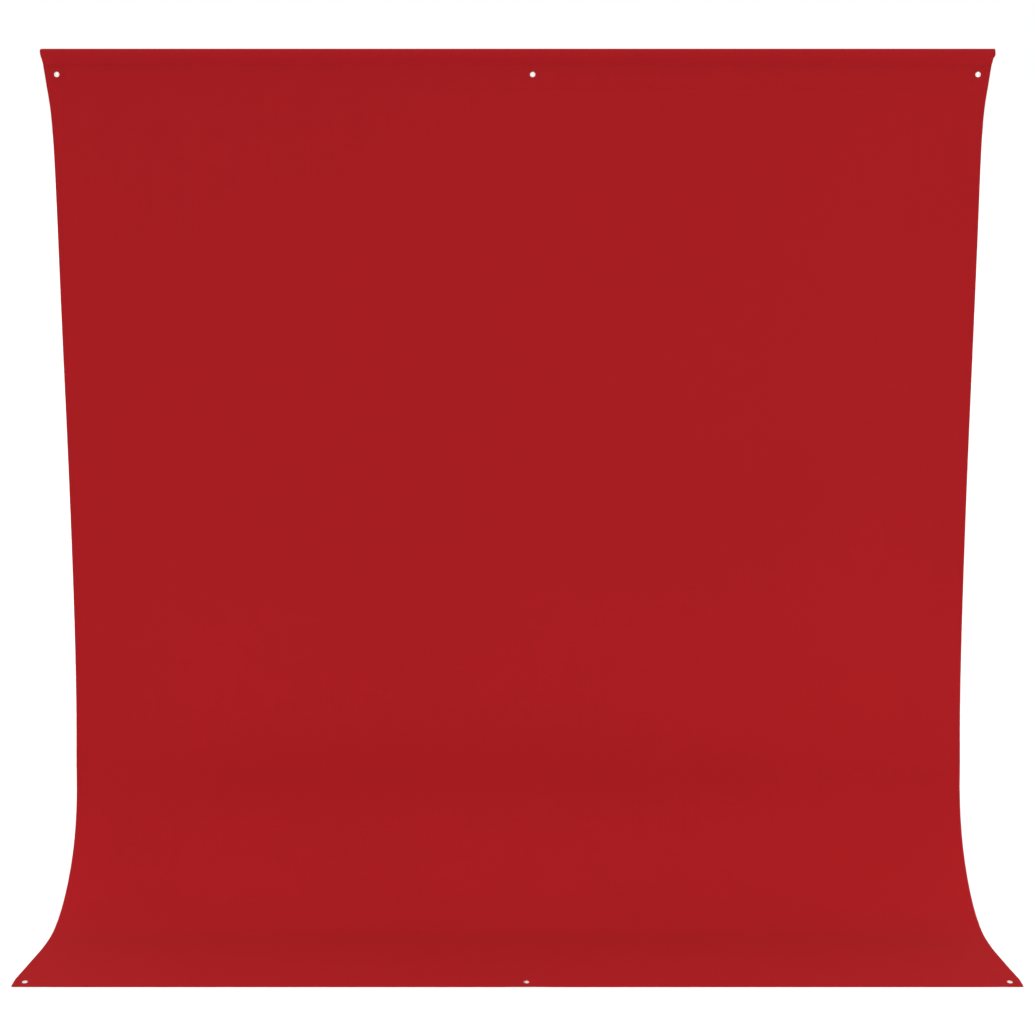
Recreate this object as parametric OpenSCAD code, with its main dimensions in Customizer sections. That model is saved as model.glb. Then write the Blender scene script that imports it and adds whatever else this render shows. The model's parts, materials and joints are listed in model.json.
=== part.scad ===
// Fabric photo backdrop sheet: rod pocket and three grommets along the top,
// a free-hanging curtain, a swept foot and an apron that lies on the floor
// with three more grommets along its front hem.
// Millimetres, +Z up, the coloured face looks to -Y, +X to the viewer's right.
// Origin: middle of the bounding box in plan, on the floor.

/* [Sheet] */
// Finished width along the top fold and along the front edge
cloth_width = 2743; // [1500:1:3100]
// Finished length from the top fold to the front edge
cloth_length = 3048; // [2950:1:3400]
// Thickness of one layer of the knitted cloth
cloth_thick = 0.8; // [0.6:0.1:1]

/* [Drape] */
// Height of the top fold above the floor
fold_height = 2500; // [2300:5:2560]
// Radius of the sweep between the curtain and the floor
sweep_radius = 385; // [250:5:450]
// Forward lean of the hanging part, in degrees from the vertical
lean = 4; // [2:0.5:7]
// Place on the sweep where the apron folds, in degrees below its centre
fold_at = 47; // [40:1:55]
// Share of the width lost where the stretched cloth necks in
neck_in = 0.021; // [0:0.001:0.03]
// Distance over which the cloth necks in below the top fold
neck_top = 132; // [80:1:200]
// Distance over which the cloth widens again before the front edge
neck_front = 163; // [100:1:220]
// Extra share of the width lost at mid height
waist = 0.012; // [0:0.001:0.02]

/* [Rod pocket] */
// Inner radius of the pocket, a running fit on a 30 mm crossbar
pocket_radius = 15.25; // [13:0.25:16]
// How far below the bar's centre line the pocket hugs it, in degrees
pocket_hug = 32; // [30:1:58]
// Height of the doubled band below the pocket
band_height = 72; // [70:1:90]
// Height of the straight ends of the pocket
pocket_end = 31; // [28:1:34]

/* [Grommets] */
// Clear radius through a grommet
bore_radius = 4; // [3:0.5:4.5]
// Outer radius of the flange and of the washer
flange_radius = 8; // [7:0.5:9]
// Height of the rolled flange
flange_height = 1.2; // [0.8:0.1:1.6]
// Centre line of the top grommets below the top fold
top_down = 72; // [70:1:76]
// Top corner grommets, distance in from the side edge
top_side = 34; // [31:1:45]
// Top middle grommet, distance to the right of the middle
top_mid = 44; // [0:1:120]
// Centre line of the front grommets behind the front edge
front_in = 25; // [24:1:30]
// Front corner grommets, distance in from the side edge
front_side = 31; // [28:1:50]
// Front middle grommet, distance to the right of the middle
front_mid = 25; // [0:1:120]
// Side of the reinforcing patch inside the top band
patch_top = 42; // [38:1:46]
// Side of the reinforcing patch inside the front hem
patch_front = 38; // [34:1:40]

/* [Hems] */
// Width of the turned side hems
hem_side = 13; // [12:1:18]
// Depth of the doubled front hem
hem_front = 57; // [56:1:70]
// Width of a line of stitching
stitch_width = 0.6; // [0.4:0.1:0.8]
// How far a line of stitching stands off the cloth
stitch_height = 0.25; // [0.2:0.05:0.35]

/* [Care label] */
// Width of the blank care label
label_width = 35; // [25:1:45]
// Hanging length of the blank care label
label_height = 45; // [30:1:60]

/* [Hidden] */
$fn = 96;

red = [0.64, 0.13, 0.14];
red_thread = [0.5, 0.08, 0.1];
nickel = [0.78, 0.78, 0.76];
lining = [0.9, 0.89, 0.86];

washer_thick = 0.8;
curl_height = 0.5;                  // curled end of an eyelet
barrel_radius = bore_radius + 0.5;  // outside of an eyelet's barrel
hole_radius = bore_radius + 0.7;    // punched in cloth and patches
hole_cut = 20;                      // length of the cutter for those holes
swing_gap = 0.6;                    // each side of the line where the curtain hinges
fold_gap = 1;                       // each side of the line where the apron folds
edge_overrun = 5;                   // outlines run this far past the cloth they trim
fold_overlap = 10;                  // outline rows run this far past the fold

// A layer is [back, front], offsets from the middle of the cloth towards the coloured face
cloth_layer = [-cloth_thick / 2, cloth_thick / 2];
hem_layer = [-1.5 * cloth_thick, -cloth_thick / 2];
thread_layers = [[cloth_layer[1], cloth_layer[1] + stitch_height],
    [hem_layer[0] - stitch_height, hem_layer[0]]];
// The doubled bands hold a patch between two layers of cloth
band_half = 1.5 * cloth_thick;
band_threads = [band_half, -band_half - stitch_height]; // start of the thread on each face

// Side hem thread, its middle this far in from the edge
hem_stitch_in = hem_side - 3;
hem_insets = [0, hem_side];
thread_insets = [hem_stitch_in - stitch_width / 2, hem_stitch_in + stitch_width / 2];

// Heights
pocket_outer = pocket_radius + cloth_thick;
z_bar = fold_height - pocket_outer;
// From the bar's centre line down to where the pocket's legs meet
apex_drop = (pocket_outer - band_half * cos(pocket_hug)) / sin(pocket_hug);
z_band = z_bar - apex_drop;                     // top of the flat band
z_hinge = z_band - band_height;                 // line where the curtain hinges
z_hem = band_half + washer_thick + curl_height; // middle of the front hem
z_apron = z_hem + cloth_thick;                  // middle of the apron's layer

// Runs: distances along the cloth from the top fold
function arc_length(angle) = sweep_radius * angle * PI / 180;
function arc_angle(length) = length / sweep_radius * 180 / PI;
pocket_middle = pocket_radius + cloth_thick / 2;
run_band = pocket_middle * (90 + pocket_hug) * PI / 180 + pocket_middle / tan(pocket_hug);
run_hinge = run_band + band_height;
straight = (z_hinge - z_apron - sweep_radius * (1 - sin(lean))) / cos(lean);
run_sweep = run_hinge + straight;
run_fold = run_sweep + arc_length(fold_at - lean);
run_floor = run_sweep + arc_length(90 - lean);
flat_length = cloth_length - run_floor;

// Depths from the bar's plane, forward negative
y_hinge = -cloth_thick;
y_sweep = y_hinge - straight * sin(lean) - sweep_radius * cos(lean); // centre of the sweep
z_sweep = z_apron + sweep_radius;
y_front = y_sweep - flat_length;
y_hem = y_front + hem_front;                    // back of the front hem
y_shift = -(y_front + pocket_outer) / 2;        // centres the bounding box

// ---- side edges ----------------------------------------------------------

// Exponents of the necking curves at the top and at the front
neck_top_power = 1.35;
neck_front_power = 2;

function neck_share(run) = neck_in
    * (1 - exp(-pow(max(run, 0) / neck_top, neck_top_power)))
    * (1 - exp(-pow(max(cloth_length - run, 0) / neck_front, neck_front_power)));
function half_width(run) = cloth_width / 2
    * (1 - neck_share(run) - waist * pow(sin(180 * run / cloth_length), 2));

// [depth, height] of the middle of the cloth, from the hinge forward
function cloth_at(run) =
    run < run_sweep ? [y_hinge - (run - run_hinge) * sin(lean),
                       z_hinge - (run - run_hinge) * cos(lean)]
    : run < run_floor ? let (angle = lean + arc_angle(run - run_sweep))
        [y_sweep + sweep_radius * cos(angle), z_sweep - sweep_radius * sin(angle)]
    : [y_sweep - (run - run_floor), z_apron];

// Rows are closer together over the upper part of the curtain
upper_rows = 330;
lower_rows = run_fold + fold_overlap - run_hinge - upper_rows;
rows_band = [for (k = [0 : 6]) run_band + band_height * k / 6];
rows_curtain = concat([for (k = [0 : 9]) run_hinge + upper_rows * pow(k / 9, 1.4)],
    [for (k = [1 : 8]) run_hinge + upper_rows + lower_rows * k / 8]);
rows_apron = [for (k = [0 : 20])
    run_fold - fold_overlap + (cloth_length - run_fold + fold_overlap) * k / 20];

// [half width, height] down the header, straight at the pocket's ends
edge_header = concat(
    [[cloth_width / 2, fold_height + edge_overrun], [cloth_width / 2, fold_height - pocket_end]],
    [for (run = rows_band) [half_width(run), z_band - (run - run_band)]],
    [[half_width(run_hinge), z_hinge - edge_overrun]]);
// [half width, height] down the curtain
edge_curtain = concat([[half_width(run_hinge), z_hinge + edge_overrun]],
    [for (run = rows_curtain) [half_width(run), cloth_at(run)[1]]]);
// [half width, depth] forward along the apron
edge_apron = concat([for (run = rows_apron) [half_width(run), cloth_at(run)[0]]],
    [[half_width(cloth_length), y_front - edge_overrun]]);

// ---- helpers -------------------------------------------------------------

function reversed(list) = [for (i = [len(list) - 1 : -1 : 0]) list[i]];
function edge_line(edge, inset, side) = [for (point = edge) [side * (point[0] - inset), point[1]]];

// From the bar's plane to the sheet's frame
module place() { translate([0, y_shift, 0]) children(); }

// A profile drawn as [depth, height], run along X
module across() {
    rotate([90, 0, 90]) linear_extrude(height = cloth_width + 40, center = true) children();
}

// Strip between two insets from one side edge (-1 left, 1 right); side 0 is the whole sheet
module outline(edge, insets, side) {
    if (side == 0) polygon(concat(edge_line(edge, 0, 1), reversed(edge_line(edge, 0, -1))));
    else polygon(concat(edge_line(edge, insets[0], side),
        reversed(edge_line(edge, insets[1], side))));
}
module seen_from_front(edge, insets = [0, 0], side = 0) {
    rotate([90, 0, 0]) linear_extrude(height = 3000, center = true) outline(edge, insets, side);
}
module seen_from_above(edge, insets = [0, 0], side = 0) {
    translate([0, 0, -20]) linear_extrude(height = 1000) outline(edge, insets, side);
}

// Part of a layer on the sweep, between two angles below its centre
module sweep_arc(layer, start, end) {
    function ray(reach, angle) = reach * sweep_radius * [cos(angle), -sin(angle)];
    intersection() {
        difference() {
            circle(sweep_radius - layer[0], $fn = 360);
            circle(sweep_radius - layer[1], $fn = 360);
        }
        polygon([[0, 0], ray(2, start), ray(3, (start + end) / 2), ray(2, end)]);
    }
}

// A place on the top band or on the front hem, with local +Z out of the coloured face
module on_band(x) {
    place() translate([x, 0, fold_height - top_down]) rotate([90, 0, 0]) children();
}
module on_hem(x) { place() translate([x, y_front + front_in, z_hem]) children(); }

x_top = half_width(run_band + top_down - (fold_height - z_band)) - top_side;
x_front = half_width(cloth_length - front_in) - front_side;
top_places = [-x_top, top_mid, x_top];
front_places = [-x_front, front_mid, x_front];

module punch() { cylinder(r = hole_radius, h = hole_cut, center = true); }

// Outline of the room for patches inside a band, from two half widths and their places
module patch_room(half_a, place_a, half_b, place_b) {
    polygon([[-half_a, place_a], [half_a, place_a], [half_b, place_b], [-half_b, place_b]]);
}

// ---- hardware ------------------------------------------------------------

washer_back = -band_half - washer_thick;

// Eyelet half of a grommet: rolled flange in front, barrel, curled end behind
module eyelet() {
    // [radius, height]
    color(nickel) rotate_extrude() polygon([
        [bore_radius, washer_back - curl_height * 0.5],
        [bore_radius, band_half + flange_height * 0.75],
        [bore_radius + 0.3, band_half + flange_height * 0.95],
        [bore_radius + 0.9, band_half + flange_height],
        [flange_radius - 1.5, band_half + flange_height * 0.87],
        [flange_radius - 0.5, band_half + flange_height * 0.55],
        [flange_radius - 0.1, band_half + flange_height * 0.2],
        [flange_radius - 0.2, band_half],
        [barrel_radius, band_half],
        [barrel_radius, washer_back],
        [bore_radius + 1.9, washer_back],
        [bore_radius + 1.8, washer_back - curl_height * 0.7],
        [bore_radius + 1.2, washer_back - curl_height],
        [bore_radius + 0.3, washer_back - curl_height]]);
}

// Washer half of a grommet, seated behind the cloth
module washer() {
    // [radius, height]
    color(nickel) rotate_extrude() polygon([
        [barrel_radius + 0.1, -band_half],
        [flange_radius - 0.3, -band_half],
        [flange_radius, -band_half - 0.15],
        [flange_radius - 0.1, -band_half - washer_thick * 0.6],
        [flange_radius - 0.8, washer_back],
        [barrel_radius + 0.1, washer_back]]);
}

module patch(size) {
    color(lining) translate([0, 0, -cloth_thick / 2]) linear_extrude(height = cloth_thick)
        difference() {
            square(size, center = true);
            circle(hole_radius);
        }
}

// Stitching box around a grommet, on both faces, inside the patch's edge
module patch_stitch(patch_size) {
    size = patch_size - 2 * 3;
    for (z = band_threads)
        translate([0, 0, z]) linear_extrude(height = stitch_height)
            difference() {
                square(size, center = true);
                square(size - 2 * stitch_width, center = true);
            }
}

// ---- header --------------------------------------------------------------

leg_inset = 0.4;        // the legs start this far inside the pocket's circle
tip_half = 0.15;        // half width of the pocket's opening at its lower tip
tip_rise = 0.6;         // that tip above the flat band
band_overlap = 0.5;     // the band runs this far up into the legs

// Circle with two legs that close to a half thickness at height low
module drop_shape(radius, leg_half, low) {
    leg_radius = radius - leg_inset;
    circle(radius);
    polygon([[0, 0], leg_radius * [-cos(pocket_hug), -sin(pocket_hug)], [-leg_half, low],
        [leg_half, low], leg_radius * [cos(pocket_hug), -sin(pocket_hug)]]);
}

// Pocket and doubled band
module rod_pocket() {
    room_side = 3;
    room_top = 4;
    room_bottom = 6;
    color(red) difference() {
        place() intersection() {
            across() translate([0, z_bar]) difference() {
                union() {
                    drop_shape(pocket_outer, band_half, -apex_drop);
                    translate([-band_half, swing_gap - apex_drop - band_height])
                        square([2 * band_half, band_height - swing_gap + band_overlap]);
                }
                drop_shape(pocket_radius, tip_half, tip_rise - apex_drop);
            }
            seen_from_front(edge_header);
        }
        place() rotate([90, 0, 0]) linear_extrude(height = cloth_thick, center = true)
            patch_room(half_width(run_band) - room_side, z_band - room_top,
                half_width(run_hinge) - room_side, z_hinge + room_bottom);
        for (x = top_places) on_band(x) punch();
    }
}

// Line of stitching across both faces of the band, short of the side edges at that run
module seam_line(z, run) {
    half_seam = half_width(run) - 4;
    color(red_thread) for (y = band_threads)
        place() translate([-half_seam, y, z]) cube([2 * half_seam, stitch_height, stitch_width]);
}
module pocket_seam_thread() { seam_line(z_band - 2, run_band); }
module header_seam_thread() { seam_line(z_hinge + 2.6, run_hinge); }

module patch_top_left() { on_band(-x_top) patch(patch_top); }
module patch_top_middle() { on_band(top_mid) patch(patch_top); }
module patch_top_right() { on_band(x_top) patch(patch_top); }
module patch_top_threads() {
    color(red_thread) for (x = top_places) on_band(x) patch_stitch(patch_top);
}
module grommet_top_left() { on_band(-x_top) eyelet(); }
module grommet_top_middle() { on_band(top_mid) eyelet(); }
module grommet_top_right() { on_band(x_top) eyelet(); }
module washer_top_left() { on_band(-x_top) washer(); }
module washer_top_middle() { on_band(top_mid) washer(); }
module washer_top_right() { on_band(x_top) washer(); }

// Hangs behind the left end of the band
module care_label() {
    label_in = 160;     // left edge of the label from the sheet's side
    label_rise = 6;     // top of the label above the hinge line
    label_thick = 0.4;
    color("white") place() translate([-cloth_width / 2 + label_in, band_half + stitch_height,
        z_hinge + label_rise - label_height]) cube([label_width, label_thick, label_height]);
}

// ---- curtain -------------------------------------------------------------

module curtain_part(layer, insets = [0, 0], side = 0) {
    place() intersection() {
        across() translate([y_sweep, z_sweep]) rotate(-lean) {
            translate([sweep_radius - layer[1], 0])
                square([layer[1] - layer[0], straight - swing_gap]);
            sweep_arc(layer, 0, fold_at - lean - arc_angle(fold_gap));
        }
        seen_from_front(edge_curtain, insets, side);
    }
}
module curtain_hem(side) { color(red) curtain_part(hem_layer, hem_insets, side); }
module curtain_stitch(side) {
    color(red_thread) for (layer = thread_layers) curtain_part(layer, thread_insets, side);
}

module curtain_cloth() { color(red) curtain_part(cloth_layer); }
module curtain_left_hem() { curtain_hem(-1); }
module curtain_right_hem() { curtain_hem(1); }
module curtain_left_hem_thread() { curtain_stitch(-1); }
module curtain_right_hem_thread() { curtain_stitch(1); }

// ---- apron ---------------------------------------------------------------

// From the fold to the back of the front hem
module apron_part(layer, insets = [0, 0], side = 0) {
    place() intersection() {
        across() translate([y_sweep, z_sweep]) {
            translate([hem_front - flat_length, layer[0] - sweep_radius])
                square([flat_length - hem_front, layer[1] - layer[0]]);
            sweep_arc(layer, fold_at + arc_angle(fold_gap), 90);
        }
        seen_from_above(edge_apron, insets, side);
    }
}
module apron_hem(side) { color(red) apron_part(hem_layer, hem_insets, side); }
module apron_stitch(side) {
    color(red_thread) for (layer = thread_layers) apron_part(layer, thread_insets, side);
}

module apron_cloth() { color(red) apron_part(cloth_layer); }
module apron_left_hem() { apron_hem(-1); }
module apron_right_hem() { apron_hem(1); }
module apron_left_hem_thread() { apron_stitch(-1); }
module apron_right_hem_thread() { apron_stitch(1); }

// ---- front hem -----------------------------------------------------------

// Rounded front edge, in half thicknesses: [behind the front edge, off the middle]
hem_nose = [[0.7, 1], [0.3, 0.75], [0, 0.3]];
half_hem_back = half_width(cloth_length - hem_front);

module front_hem() {
    room_side = 6;
    room_end = 3;
    function nose_point(point, up) =
        [y_front + point[0] * band_half, z_hem + up * point[1] * band_half];
    color(red) difference() {
        place() intersection() {
            across() polygon(concat([[y_hem, z_hem - band_half]],
                [for (point = hem_nose) nose_point(point, -1)],
                [for (point = reversed(hem_nose)) nose_point(point, 1)],
                [[y_hem, z_hem + band_half]]));
            seen_from_above(edge_apron);
        }
        place() translate([0, 0, z_hem - cloth_thick / 2]) linear_extrude(height = cloth_thick)
            patch_room(half_width(cloth_length) - room_side, y_front + room_end,
                half_hem_back - room_side, y_hem - room_end);
        for (x = front_places) on_hem(x) punch();
    }
}
module front_hem_thread() {
    half_seam = half_hem_back - 5;
    color(red_thread) for (z = band_threads)
        place() translate([-half_seam, y_hem - 2 - stitch_width, z_hem + z])
            cube([2 * half_seam, stitch_width, stitch_height]);
}

module patch_front_left() { on_hem(-x_front) patch(patch_front); }
module patch_front_middle() { on_hem(front_mid) patch(patch_front); }
module patch_front_right() { on_hem(x_front) patch(patch_front); }
module patch_front_threads() {
    color(red_thread) for (x = front_places) on_hem(x) patch_stitch(patch_front);
}
module grommet_front_left() { on_hem(-x_front) eyelet(); }
module grommet_front_middle() { on_hem(front_mid) eyelet(); }
module grommet_front_right() { on_hem(x_front) eyelet(); }
module washer_front_left() { on_hem(-x_front) washer(); }
module washer_front_middle() { on_hem(front_mid) washer(); }
module washer_front_right() { on_hem(x_front) washer(); }

rod_pocket();
pocket_seam_thread();
header_seam_thread();
patch_top_left();
patch_top_middle();
patch_top_right();
patch_top_threads();
grommet_top_left();
grommet_top_middle();
grommet_top_right();
washer_top_left();
washer_top_middle();
washer_top_right();
care_label();
curtain_cloth();
curtain_left_hem();
curtain_right_hem();
curtain_left_hem_thread();
curtain_right_hem_thread();
apron_cloth();
apron_left_hem();
apron_right_hem();
apron_left_hem_thread();
apron_right_hem_thread();
front_hem();
front_hem_thread();
patch_front_left();
patch_front_middle();
patch_front_right();
patch_front_threads();
grommet_front_left();
grommet_front_middle();
grommet_front_right();
washer_front_left();
washer_front_middle();
washer_front_right();
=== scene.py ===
"""Fabric backdrop sheet that hangs from a rod and sweeps forwards onto the floor.

Metres, +Z up. The front is -Y, where the camera stands, and the right is +X. From the top down:
a rod pocket and a doubled band (together the header), the curtain, leaning forwards, a round
sweep, and the apron, flat on the floor, with a doubled front hem. Three grommets sit in the band
and three in the front hem.

"along" is always the distance over the cloth from the top fold. The outer layer is the one
facing forwards on the curtain and upwards on the apron.
"""

import json
import math

import bmesh
import bpy
import numpy as np
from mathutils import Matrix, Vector

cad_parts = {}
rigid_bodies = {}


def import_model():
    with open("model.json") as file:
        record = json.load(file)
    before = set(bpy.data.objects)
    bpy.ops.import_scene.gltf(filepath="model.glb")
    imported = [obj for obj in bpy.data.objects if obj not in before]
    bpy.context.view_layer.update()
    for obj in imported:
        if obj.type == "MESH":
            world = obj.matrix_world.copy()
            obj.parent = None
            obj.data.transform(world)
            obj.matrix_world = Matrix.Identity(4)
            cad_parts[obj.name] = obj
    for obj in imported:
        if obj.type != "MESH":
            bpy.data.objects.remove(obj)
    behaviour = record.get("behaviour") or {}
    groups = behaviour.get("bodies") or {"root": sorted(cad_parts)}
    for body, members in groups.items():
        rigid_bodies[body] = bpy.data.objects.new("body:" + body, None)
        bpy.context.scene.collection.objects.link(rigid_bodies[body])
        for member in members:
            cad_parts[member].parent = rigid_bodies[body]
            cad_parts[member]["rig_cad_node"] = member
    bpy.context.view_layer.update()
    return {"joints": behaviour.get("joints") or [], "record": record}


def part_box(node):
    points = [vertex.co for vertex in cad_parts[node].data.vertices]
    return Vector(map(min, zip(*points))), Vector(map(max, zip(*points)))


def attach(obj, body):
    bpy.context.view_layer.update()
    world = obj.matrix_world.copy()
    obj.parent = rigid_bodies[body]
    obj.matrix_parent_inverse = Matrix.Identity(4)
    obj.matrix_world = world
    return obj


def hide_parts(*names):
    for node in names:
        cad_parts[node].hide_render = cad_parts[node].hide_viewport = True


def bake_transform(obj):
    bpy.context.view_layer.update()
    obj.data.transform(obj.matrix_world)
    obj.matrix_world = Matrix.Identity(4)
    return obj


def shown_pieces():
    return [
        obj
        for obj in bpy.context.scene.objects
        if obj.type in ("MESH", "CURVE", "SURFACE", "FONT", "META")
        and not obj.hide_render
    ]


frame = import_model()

MM = 0.001


def middle(node):
    low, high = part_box(node)
    return (low + high) / 2


def half_span(node):
    """Half a CAD node's size in x."""
    low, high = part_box(node)
    return (high.x - low.x) / 2


# ---------------------------------------------------------------- dimensions
CLOTH = 0.0008  # thickness of one layer
LAYER_GAP = 0.00002  # air between layers that touch
LENGTH = 3.048  # top fold to front edge
LEAN = math.radians(4.0)  # of the curtain, from upright
SWEEP = 0.385  # radius of the sweep
HUG = math.radians(32.0)  # how far past the half circle each side of the pocket wraps the rod
POCKET = 0.01525  # inner radius of the pocket
HEM_SIDE = 0.013
HEM_FRONT = 0.057
FOLD_R = CLOTH / 2 + 0.00001  # middle line of a turned edge

# How far the sides draw in, as shares of the half width, and how soon from each end
NECK, NECK_TOP, NECK_FRONT = 0.0209, 0.129, 0.166
WAIST = 0.0119  # extra at half length

top_lo, top_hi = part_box("rod_pocket")
front_lo, front_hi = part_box("front_hem")
WIDTH = top_hi.x - top_lo.x
BAR_Y = (top_lo.y + top_hi.y) / 2  # plane of the crossbar
FRONT_Y = front_lo.y  # front edge of the apron
POCKET_MID = POCKET + CLOTH / 2
ROD_Z = top_hi.z - POCKET - CLOTH
APEX = (POCKET + CLOTH - 1.5 * CLOTH * math.cos(HUG)) / math.sin(HUG)
BAND_Z = ROD_Z - APEX  # the two sides of the pocket meet here
HINGE_Z = frame["joints"][0]["pos_m"][2]  # bottom of the band
HEM_MID_Z = (front_lo.z + front_hi.z) / 2
FLOOR_Z = HEM_MID_Z + CLOTH

# Stations along the cloth
TO_BAND = POCKET_MID * (math.pi / 2 + HUG) + POCKET_MID / math.tan(HUG)
TO_HINGE = TO_BAND + (BAND_Z - HINGE_Z)
STRAIGHT = (HINGE_Z - FLOOR_Z - SWEEP * (1 - math.sin(LEAN))) / math.cos(LEAN)
TO_SWEEP = TO_HINGE + STRAIGHT
TO_FLOOR = TO_SWEEP + SWEEP * (math.pi / 2 - LEAN)
TO_FOLD = TO_SWEEP + SWEEP * (math.radians(47.0) - LEAN)  # curtain and apron bend here
TO_SPLIT = TO_HINGE + 1.15  # the upper and lower sheets meet here
TO_HEM = LENGTH - HEM_FRONT
LEG_Y = BAR_Y - CLOTH  # outer layer just below the hinge
ARC_Y = LEG_Y - STRAIGHT * math.sin(LEAN) - SWEEP * math.cos(LEAN)
ARC_Z = FLOOR_Z + SWEEP

# Seams
POCKET_SEAM_Z = BAND_Z - 0.0017
HEADER_SEAM_Z = HINGE_Z + 0.0029
FRONT_SEAM = HEM_FRONT - 0.0023  # behind the front edge
SIDE_SEAM = 0.010  # in from the side edge

# Grommets: places are (x, z) in the band and (x, y) in the front hem
SIDES = ("left", "middle", "right")
top_middles = [middle("grommet_top_" + side) for side in SIDES]
front_middles = [middle("grommet_front_" + side) for side in SIDES]
TOP_SPOTS = [(spot.x, spot.z) for spot in top_middles]
FRONT_SPOTS = [(spot.x, spot.y) for spot in front_middles]
GROMMET_Z = TOP_SPOTS[0][1]
GROMMET_Y = FRONT_SPOTS[0][1]
FLANGE = half_span("grommet_top_left")
mounts = frame["record"]["mounts"]
BORE = next(m for m in mounts if m["name"] == "grommet_top_left")["dims"]["r_mm"] * MM
HOLE = BORE + 0.0007  # hole punched in the cloth
PATCH_TOP = half_span("patch_top_left")
PATCH_FRONT = half_span("patch_front_left")
CELL = 0.0045  # spacing of the mesh lines round a grommet, four each way


# ---------------------------------------------------------------- the drape
def ease(x):
    x = np.clip(x, 0.0, 1.0)
    return x * x * (3 - 2 * x)


def bump(place, at, width):
    return np.exp(-(((place - at) / width) ** 2))


def bumps(along, table):
    return sum(size * bump(along, at, width) for size, at, width in table)


def ripple(place, wavelength, phase):
    return np.sin(2 * math.pi * place / wavelength + phase)


# Uneven width and sideways wander: size, place along the cloth, reach
WIDTH_BUMPS = (
    (0.0017, 0.12, 0.05), (0.0012, 0.9, 0.35), (-0.0021, 1.85, 0.35), (0.0023, 2.9, 0.12),
    (0.0014, 2.13, 0.10), (-0.0006, 2.38, 0.10), (0.0011, 2.87, 0.05),
)
DRIFT_BUMPS = ((0.0013, 1.75, 0.5), (0.0012, 2.4, 0.25), (-0.0006, 2.9, 0.12))


def half_width(along):
    fade = (1 - np.exp(-((np.maximum(along, 0) / NECK_TOP) ** 1.35))) * (
        1 - np.exp(-((np.maximum(LENGTH - along, 0) / NECK_FRONT) ** 2))
    )
    drawn_in = NECK * fade + WAIST * np.sin(math.pi * along / LENGTH) ** 2
    return WIDTH / 2 * (1 - drawn_in) + bumps(along, WIDTH_BUMPS)


def drift(along):
    """The cloth below the header wanders slightly, mostly to the right."""
    shift = 0.0016 * ease((along - 0.1) / 0.5) * (1 - ease((along - 2.2) / 0.7))
    return shift + bumps(along, DRIFT_BUMPS)


def edge_x(along, side):
    """Distance of one side edge from the middle; the two top corners differ."""
    along = np.abs(along)
    width = half_width(along)
    if side > 0:  # the pocket's right end is cut square, then steps in
        step = ease((along - 0.026) / 0.009)
        notched = width - 0.0016 * bump(along, 0.037, 0.010)
        width = (WIDTH / 2 - 0.0022) * (1 - step) + notched * step
    else:  # the left end is pulled in and its corner is rounded over
        width = width - 0.0021 * ease(along / 0.015) * (1 - ease((along - 0.036) / 0.03))
        width = width - 0.0125 * (1 - np.clip(along / 0.0145, 0, 1)) ** 2.2
    return np.minimum(width, WIDTH / 2 - 0.0003)


def waves(along, x):
    """Slight ripples and curled edges of the hanging part, along the surface normal."""
    hang = ease((along - TO_HINGE - 0.05) / 0.6) * (1 - ease((along - TO_SWEEP + 0.15) / 0.6))
    ripples = (
        0.0014 * ripple(x, 0.83, 0.7 + 0.35 * np.sin(1.7 * along))
        + 0.0009 * ripple(x, 0.47, 2.1 - 0.5 * along)
        + 0.0006 * ripple(x / 1.9 + along / 1.3, 1.0, 0.4)
    )
    inset = np.maximum(half_width(along) - np.abs(x), 0)
    curl = 0.0035 * np.exp(-inset / 0.035) * (0.65 + 0.35 * np.sin(along * 5.3 + np.sign(x)))
    return hang * (ripples + curl)


def washer_lift(x, y):
    """How far the front hem is held up by the washers: 1 at a grommet."""
    lifted = np.zeros_like(x + y)
    for spot_x, spot_y in FRONT_SPOTS:
        reach = np.sqrt((x - spot_x) ** 2 + (y - spot_y) ** 2)
        lifted = np.maximum(lifted, 1 - ease((reach - PATCH_FRONT) / 0.075))
    return lifted


def patch_gap(x, other, spots, half):
    """1 where a patch parts the layers, 0 elsewhere. `other` is z on the band, y on the hem."""
    gap = np.zeros_like(x + other)
    half, soft = half + 0.0008, 0.003
    for spot_x, spot_other in spots:
        inside_x = 1 - ease((np.abs(x - spot_x) - half) / soft + 0.5)
        inside_other = 1 - ease((np.abs(other - spot_other) - half) / soft + 0.5)
        gap = np.maximum(gap, inside_x * inside_other)
    return gap


def band_pucker(x, z):
    """Both layers of the top band gather slightly along its two seams."""
    near = bump(z, POCKET_SEAM_Z, 0.006)
    near = near + bump(z, HINGE_Z + 0.0045, 0.007) * ease((z - HINGE_Z) / 0.003)
    fine = 0.00020 * ripple(x, 0.049, 0.5 * np.sin(x * 9))
    return near * (fine + 0.00014 * ripple(x, 0.083, 1.0))


def hem_pucker(x, y):
    """The same along the front hem's seam, only upwards because it lies on the floor."""
    edge = FRONT_Y + HEM_FRONT
    near = bump(y, edge - 0.0040, 0.010) * ease((edge - y) / 0.003)
    fine = 0.00024 * (1 + ripple(x, 0.053, 0.6 * np.sin(x * 7)))
    return near * (fine + 0.00016 * (1 + ripple(x, 0.091, 2.0)))


def side_calm(along):
    """Fades the side hems' gathering out at the hinge and towards the floor."""
    return ease((along - TO_HINGE) / 0.05) * (1 - ease((along - TO_FLOOR + 0.1) / 0.1))


def side_pucker(along, side):
    """Slight uneven gathering along a sewn side hem."""
    return (
        0.00028 * ripple(along, 0.047, side)
        + 0.00018 * ripple(along, 0.029, 1.3 * side)
        + 0.00014 * ripple(along, 0.083, 2.0)
    )


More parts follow.
